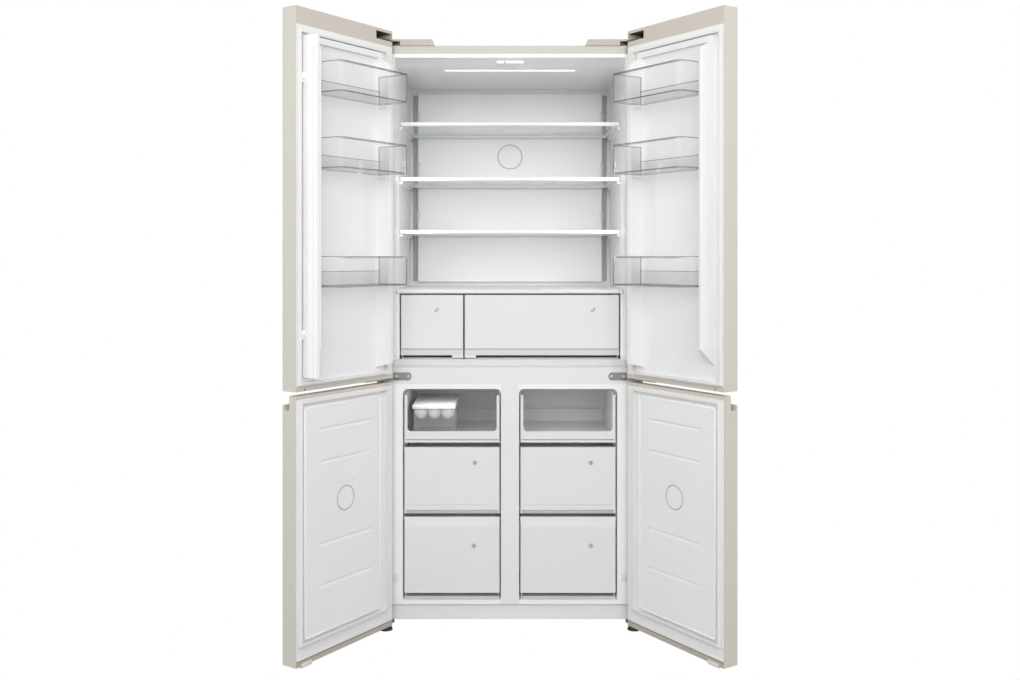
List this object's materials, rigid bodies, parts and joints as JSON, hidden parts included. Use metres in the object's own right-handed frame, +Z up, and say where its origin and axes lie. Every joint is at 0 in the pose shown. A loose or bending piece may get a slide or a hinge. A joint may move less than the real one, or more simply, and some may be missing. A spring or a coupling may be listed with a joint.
{
  "type": "multi-door refrigerator",
  "caption": "Upright refrigerator with two fridge doors over two freezer doors, glass shelves, crispers, freezer drawers, door bins and a folding centre beam.",
  "frame": {"origin": "on the floor under the middle of the whole outline", "axes": "+X to the right seen from the front, +Y towards the back, +Z up"},
  "size_m": [1.2766, 0.9884, 1.883],
  "materials": {
    "beige_enamel": "satin baked enamel",
    "beige_plastic": "satin moulded",
    "white_liner": "vacuum formed, semi-gloss",
    "white_door_liner": "vacuum formed, semi-gloss",
    "white_frame": "moulded, semi-gloss",
    "white_duct": "moulded, satin",
    "foam": "rigid foam",
    "lamp_diffuser": "opal",
    "hinge_steel": "zinc plated",
    "base_steel": "galvanised",
    "kick_plastic": "moulded, satin",
    "black_steel": "black enamel",
    "rear_steel": "galvanised",
    "evaporator_aluminium": "bare fins",
    "fan_plastic": "moulded",
    "beam_plastic": "moulded, semi-gloss",
    "roller_plastic": "moulded",
    "foot_plastic": "moulded",
    "cover_plastic": "moulded, semi-gloss",
    "white_gasket": "soft extruded",
    "shelf_glass": "toughened, clear",
    "shelf_trim": "moulded, semi-gloss",
    "clear_bin": "clear moulded styrene",
    "white_drawer": "moulded, semi-gloss"
  },
  "bodies": {
    "cabinet": {"outer_case": "beige_enamel", "fridge_liner": "white_liner", "freezer_liners": "white_liner", "cabinet_foam": "foam", "front_frame": "white_frame", "air_duct_covers": "white_duct", "led_lamp": "lamp_diffuser", "door_hinges": "hinge_steel", "hinge_covers": "beige_plastic", "base_pan": "base_steel", "kick_plate": "kick_plastic", "cooling_unit": "black_steel", "rear_cover": "rear_steel", "evaporator": "evaporator_aluminium"},
    "upper_left_door": {"upper_left_skin": "beige_enamel", "upper_left_foam": "foam", "upper_left_caps": "beige_plastic", "upper_left_liner": "white_door_liner", "upper_left_gasket": "white_gasket"},
    "lower_left_door": {"lower_left_skin": "beige_enamel", "lower_left_foam": "foam", "lower_left_caps": "beige_plastic", "lower_left_liner": "white_door_liner", "lower_left_gasket": "white_gasket"},
    "upper_right_door": {"upper_right_skin": "beige_enamel", "upper_right_foam": "foam", "upper_right_caps": "beige_plastic", "upper_right_liner": "white_door_liner", "upper_right_gasket": "white_gasket"},
    "lower_right_door": {"lower_right_skin": "beige_enamel", "lower_right_foam": "foam", "lower_right_caps": "beige_plastic", "lower_right_liner": "white_door_liner", "lower_right_gasket": "white_gasket"},
    "flip_beam": {"flip_beam": "beam_plastic"},
    "bin_left_top": {"bin_left_top": "clear_bin"},
    "bin_left_middle": {"bin_left_middle": "clear_bin"},
    "bin_left_bottom": {"bin_left_bottom": "clear_bin"},
    "bin_right_top": {"bin_right_top": "clear_bin"},
    "bin_right_middle": {"bin_right_middle": "clear_bin"},
    "bin_right_bottom": {"bin_right_bottom": "clear_bin"},
    "shelf_top": {"shelf_top_frame": "shelf_trim", "shelf_top_glass": "shelf_glass"},
    "shelf_middle": {"shelf_middle_frame": "shelf_trim", "shelf_middle_glass": "shelf_glass"},
    "shelf_bottom": {"shelf_bottom_frame": "shelf_trim", "shelf_bottom_glass": "shelf_glass"},
    "crisper_cover": {"crisper_cover": "cover_plastic"},
    "crisper_left": {"crisper_left": "white_drawer"},
    "crisper_right": {"crisper_right": "white_drawer"},
    "tray_left": {"tray_left": "white_drawer"},
    "drawer_middle_left": {"drawer_middle_left": "white_drawer"},
    "drawer_bottom_left": {"drawer_bottom_left": "white_drawer"},
    "tray_right": {"tray_right": "white_drawer"},
    "drawer_middle_right": {"drawer_middle_right": "white_drawer"},
    "drawer_bottom_right": {"drawer_bottom_right": "white_drawer"},
    "foot_left": {"foot_left": "foot_plastic"},
    "foot_right": {"foot_right": "foot_plastic"},
    "rear_rollers": {"rear_rollers": "roller_plastic"},
    "evaporator_fan": {"evaporator_fan": "fan_plastic"}
  },
  "joints": [
    {"name": "upper_left_door_hinge", "type": "hinge", "parent": "cabinet", "child": "upper_left_door", "pos_m": [-0.3965, -0.13179, 0.8], "axis": [0, 0, -1], "range_deg": [-123.5, 0]},
    {"name": "lower_left_door_hinge", "type": "hinge", "parent": "cabinet", "child": "lower_left_door", "pos_m": [-0.3965, -0.13179, 0.8], "axis": [0, 0, -1], "range_deg": [-123.5, 0]},
    {"name": "upper_right_door_hinge", "type": "hinge", "parent": "cabinet", "child": "upper_right_door", "pos_m": [0.3965, -0.13179, 0.8], "axis": [0, 0, 1], "range_deg": [-123.5, 0]},
    {"name": "lower_right_door_hinge", "type": "hinge", "parent": "cabinet", "child": "lower_right_door", "pos_m": [0.3965, -0.13179, 0.8], "axis": [0, 0, 1], "range_deg": [-123.5, 0]},
    {"name": "flip_beam_hinge", "type": "hinge", "parent": "upper_left_door", "child": "flip_beam", "pos_m": [-0.57908, -0.46335, 1.3], "axis": [0, 0, 1], "range_deg": [-90, 0]},
    {"name": "bin_left_top_lift", "type": "slide", "parent": "upper_left_door", "child": "bin_left_top", "axis": [0, 0, 1], "range_m": [0, 0.05]},
    {"name": "bin_left_middle_lift", "type": "slide", "parent": "upper_left_door", "child": "bin_left_middle", "axis": [0, 0, 1], "range_m": [0, 0.05]},
    {"name": "bin_left_bottom_lift", "type": "slide", "parent": "upper_left_door", "child": "bin_left_bottom", "axis": [0, 0, 1], "range_m": [0, 0.05]},
    {"name": "bin_right_top_lift", "type": "slide", "parent": "upper_right_door", "child": "bin_right_top", "axis": [0, 0, 1], "range_m": [0, 0.05]},
    {"name": "bin_right_middle_lift", "type": "slide", "parent": "upper_right_door", "child": "bin_right_middle", "axis": [0, 0, 1], "range_m": [0, 0.05]},
    {"name": "bin_right_bottom_lift", "type": "slide", "parent": "upper_right_door", "child": "bin_right_bottom", "axis": [0, 0, 1], "range_m": [0, 0.05]},
    {"name": "shelf_top_slide", "type": "slide", "parent": "cabinet", "child": "shelf_top", "axis": [0, -1, 0], "range_m": [0, 0.2]},
    {"name": "shelf_middle_slide", "type": "slide", "parent": "cabinet", "child": "shelf_middle", "axis": [0, -1, 0], "range_m": [0, 0.2]},
    {"name": "shelf_bottom_slide", "type": "slide", "parent": "cabinet", "child": "shelf_bottom", "axis": [0, -1, 0], "range_m": [0, 0.2]},
    {"name": "crisper_cover_slide", "type": "slide", "parent": "cabinet", "child": "crisper_cover", "axis": [0, -1, 0], "range_m": [0, 0.12]},
    {"name": "crisper_left_slide", "type": "slide", "parent": "cabinet", "child": "crisper_left", "axis": [0, -1, 0], "range_m": [0, 0.3]},
    {"name": "crisper_right_slide", "type": "slide", "parent": "cabinet", "child": "crisper_right", "axis": [0, -1, 0], "range_m": [0, 0.3]},
    {"name": "tray_left_slide", "type": "slide", "parent": "cabinet", "child": "tray_left", "axis": [0, -1, 0], "range_m": [0, 0.3]},
    {"name": "drawer_middle_left_slide", "type": "slide", "parent": "cabinet", "child": "drawer_middle_left", "axis": [0, -1, 0], "range_m": [0, 0.34]},
    {"name": "drawer_bottom_left_slide", "type": "slide", "parent": "cabinet", "child": "drawer_bottom_left", "axis": [0, -1, 0], "range_m": [0, 0.24]},
    {"name": "tray_right_slide", "type": "slide", "parent": "cabinet", "child": "tray_right", "axis": [0, -1, 0], "range_m": [0, 0.3]},
    {"name": "drawer_middle_right_slide", "type": "slide", "parent": "cabinet", "child": "drawer_middle_right", "axis": [0, -1, 0], "range_m": [0, 0.34]},
    {"name": "drawer_bottom_right_slide", "type": "slide", "parent": "cabinet", "child": "drawer_bottom_right", "axis": [0, -1, 0], "range_m": [0, 0.24]},
    {"name": "foot_left_screw", "type": "hinge", "parent": "cabinet", "child": "foot_left", "pos_m": [-0.3935, -0.05079, 0], "axis": [0, 0, 1], "continuous": true},
    {"name": "foot_right_screw", "type": "hinge", "parent": "cabinet", "child": "foot_right", "pos_m": [0.3935, -0.05079, 0], "axis": [0, 0, 1], "continuous": true},
    {"name": "rear_roller_spin", "type": "hinge", "parent": "cabinet", "child": "rear_rollers", "pos_m": [0, 0.44921, 0.022], "axis": [1, 0, 0], "continuous": true},
    {"name": "evaporator_fan_spin", "type": "hinge", "parent": "cabinet", "child": "evaporator_fan", "pos_m": [-0.1826, 0.37421, 0.54], "axis": [0, 1, 0], "continuous": true}
  ],
  "couplings": [
    {"joint": "flip_beam_hinge", "follows": "upper_left_door_hinge", "ratio": 0.72874}
  ]
}
